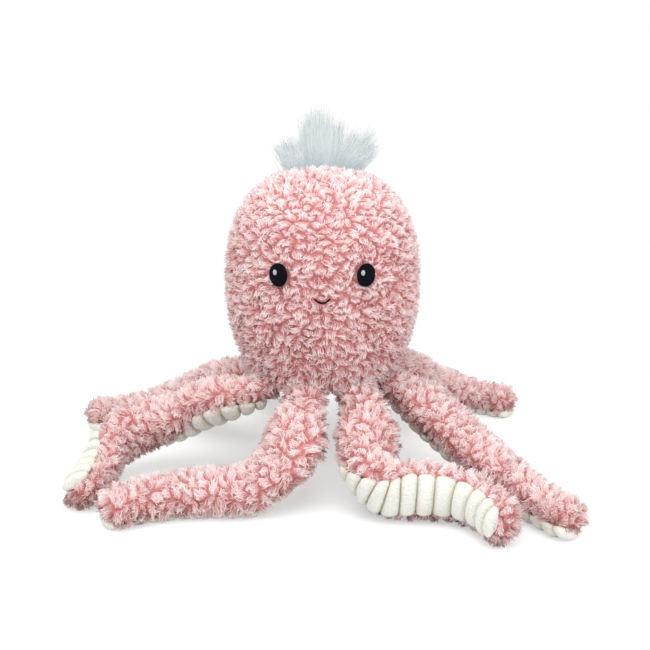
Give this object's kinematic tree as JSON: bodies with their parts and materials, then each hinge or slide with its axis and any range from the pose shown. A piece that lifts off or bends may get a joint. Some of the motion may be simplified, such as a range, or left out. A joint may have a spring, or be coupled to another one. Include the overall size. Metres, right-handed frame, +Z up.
{
  "type": "plush octopus",
  "caption": "Plush octopus with a tall round head, embroidered eyes and smile, a pale hair tuft, and curling stuffed arms with ribbed undersides that swing at their seams.",
  "frame": {"origin": "on the floor, under the middle of the whole toy's bounding box", "axes": "+Z up, the face looks along -Y, the toy's own left arm side is +X"},
  "size_m": [0.357, 0.3678, 0.263],
  "materials": {
    "pile": "matte",
    "rib": "matte",
    "fill": "matte",
    "hair": "matte",
    "thread_black": "matte",
    "thread_white": "matte"
  },
  "bodies": {
    "head": {"head_front_panel": "pile", "head_back_panel": "pile", "base_panel": "rib", "head_stuffing": "fill", "eye_left": "thread_black", "eye_right": "thread_black", "eye_glint_left": "thread_white", "eye_glint_right": "thread_white", "mouth_stitch": "thread_black", "tuft_backing": "hair", "hair_tuft": "hair"},
    "arm_1": {"arm_1_pile": "pile", "arm_1_underside": "rib", "arm_1_stuffing": "fill"},
    "arm_2": {"arm_2_pile": "pile", "arm_2_underside": "rib", "arm_2_stuffing": "fill"},
    "arm_3": {"arm_3_pile": "pile", "arm_3_underside": "rib", "arm_3_stuffing": "fill"},
    "arm_4": {"arm_4_pile": "pile", "arm_4_underside": "rib", "arm_4_stuffing": "fill"},
    "arm_5": {"arm_5_pile": "pile", "arm_5_underside": "rib", "arm_5_stuffing": "fill"},
    "arm_6": {"arm_6_pile": "pile", "arm_6_underside": "rib", "arm_6_stuffing": "fill"},
    "arm_7": {"arm_7_pile": "pile", "arm_7_underside": "rib", "arm_7_stuffing": "fill"},
    "arm_8": {"arm_8_pile": "pile", "arm_8_underside": "rib", "arm_8_stuffing": "fill"}
  },
  "joints": [
    {"name": "arm_1_seam", "type": "hinge", "parent": "head", "child": "arm_1", "pos_m": [-0.03407, -0.01382, 0.066], "axis": [0.2504, 0.9681, 0], "range_deg": [-10, 40]},
    {"name": "arm_2_seam", "type": "hinge", "parent": "head", "child": "arm_2", "pos_m": [-0.02906, -0.04945, 0.066], "axis": [-0.5075, 0.8616, 0], "range_deg": [-10, 40]},
    {"name": "arm_3_seam", "type": "hinge", "parent": "head", "child": "arm_3", "pos_m": [-0.00033, -0.0711, 0.066], "axis": [-0.9681, 0.2504, 0], "range_deg": [-10, 40]},
    {"name": "arm_4_seam", "type": "hinge", "parent": "head", "child": "arm_4", "pos_m": [0.03529, -0.06609, 0.066], "axis": [-0.8616, -0.5075, 0], "range_deg": [-10, 40]},
    {"name": "arm_5_seam", "type": "hinge", "parent": "head", "child": "arm_5", "pos_m": [0.05694, -0.03736, 0.066], "axis": [-0.2504, -0.9681, 0], "range_deg": [-10, 40]},
    {"name": "arm_6_seam", "type": "hinge", "parent": "head", "child": "arm_6", "pos_m": [0.05193, -0.00174, 0.066], "axis": [0.5075, -0.8616, 0], "range_deg": [-10, 40]},
    {"name": "arm_7_seam", "type": "hinge", "parent": "head", "child": "arm_7", "pos_m": [0.0232, 0.01991, 0.066], "axis": [0.9681, -0.2504, 0], "range_deg": [-10, 40]},
    {"name": "arm_8_seam", "type": "hinge", "parent": "head", "child": "arm_8", "pos_m": [-0.01242, 0.0149, 0.066], "axis": [0.8616, 0.5075, 0], "range_deg": [-10, 40]}
  ]
}
